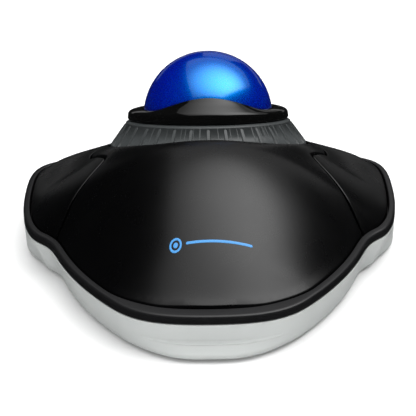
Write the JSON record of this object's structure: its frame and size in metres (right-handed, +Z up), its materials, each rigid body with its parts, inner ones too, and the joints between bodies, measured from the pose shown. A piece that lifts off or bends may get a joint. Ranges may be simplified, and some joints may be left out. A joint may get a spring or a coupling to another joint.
{
  "type": "trackball mouse",
  "caption": "Desktop trackball: a polished blue ball in a gloss bezel, a ribbed scroll ring around it, a domed palm rest, wing buttons at the sides and a pale grey case.",
  "frame": {"origin": "on the desk plane, under the middle of the bounding box", "axes": "+Z up; the user sits on the -Y side, so +Y points away from the user and +X to the user's right"},
  "size_m": [0.1156, 0.131, 0.058],
  "materials": {
    "cover_black": "fine satin texture",
    "rim_black": "satin",
    "gloss_black": "polished",
    "case_grey": "satin, lightly metallic grey",
    "ball_blue": "polished, pearlescent blue",
    "grip_rubber": "matte",
    "inner_black": "matte",
    "bearing_white": "polished",
    "screw_steel": "plated",
    "board_green": "solder mask",
    "chip_black": "moulded",
    "lens_clear": "clear moulded acrylic",
    "socket_ivory": "moulded",
    "plunger_red": "moulded",
    "foot_rubber": "matte"
  },
  "bodies": {
    "housing": {"palm_cover": "cover_black", "top_frame": "rim_black", "ball_bezel": "gloss_black", "lower_case": "case_grey", "ball_cup": "inner_black", "support_bearing_1": "bearing_white", "support_bearing_2": "bearing_white", "support_bearing_3": "bearing_white", "case_screw_1": "screw_steel", "case_screw_2": "screw_steel", "case_screw_3": "screw_steel", "case_screw_4": "screw_steel", "cup_screw_1": "screw_steel", "cup_screw_2": "screw_steel", "cup_screw_3": "screw_steel", "palm_screw_1": "screw_steel", "palm_screw_2": "screw_steel", "board_screw_1": "screw_steel", "board_screw_2": "screw_steel", "crystal": "screw_steel", "main_board": "board_green", "optical_sensor": "chip_black", "scroll_sensor": "chip_black", "controller_chip": "chip_black", "capacitor": "chip_black", "left_switch": "chip_black", "right_switch": "chip_black", "sensor_lens": "lens_clear", "cable_socket": "socket_ivory", "foot_1": "foot_rubber", "foot_2": "foot_rubber", "foot_3": "foot_rubber", "foot_4": "foot_rubber", "cable_gland": "foot_rubber"},
    "trackball": {"ball": "ball_blue"},
    "scroll_ring": {"scroll_ring_grip": "grip_rubber", "scroll_ring_core": "inner_black"},
    "left_button": {"left_button": "cover_black"},
    "right_button": {"right_button": "cover_black"},
    "left_plunger": {"left_switch_plunger": "plunger_red"},
    "right_plunger": {"right_switch_plunger": "plunger_red"}
  },
  "joints": [
    {"name": "ball_roll", "type": "hinge", "parent": "housing", "child": "trackball", "pos_m": [0, 0.0213, 0.038], "axis": [1, 0, 0], "continuous": true},
    {"name": "ring_scroll", "type": "hinge", "parent": "housing", "child": "scroll_ring", "pos_m": [0, 0.0213, 0.038], "axis": [0, 0.309, 0.9511], "continuous": true},
    {"name": "left_button_press", "type": "hinge", "parent": "housing", "child": "left_button", "pos_m": [-0.041, -0.0022, 0.0205], "axis": [-0.4848, -0.8746, 0], "range_deg": [0, 2], "stiffness_Nm_per_rad": 0.17, "springref_deg": -2.86},
    {"name": "right_button_press", "type": "hinge", "parent": "housing", "child": "right_button", "pos_m": [0.041, -0.0022, 0.0205], "axis": [-0.4848, 0.8746, 0], "range_deg": [0, 2], "stiffness_Nm_per_rad": 0.17, "springref_deg": -2.86},
    {"name": "left_plunger_travel", "type": "slide", "parent": "housing", "child": "left_plunger", "axis": [0, 0, -1], "range_m": [0, 0.0006]},
    {"name": "right_plunger_travel", "type": "slide", "parent": "housing", "child": "right_plunger", "axis": [0, 0, -1], "range_m": [0, 0.0006]}
  ],
  "couplings": [
    {"joint": "left_plunger_travel", "follows": "left_button_press", "m_per_rad": 0.0147},
    {"joint": "right_plunger_travel", "follows": "right_button_press", "m_per_rad": 0.0147}
  ]
}
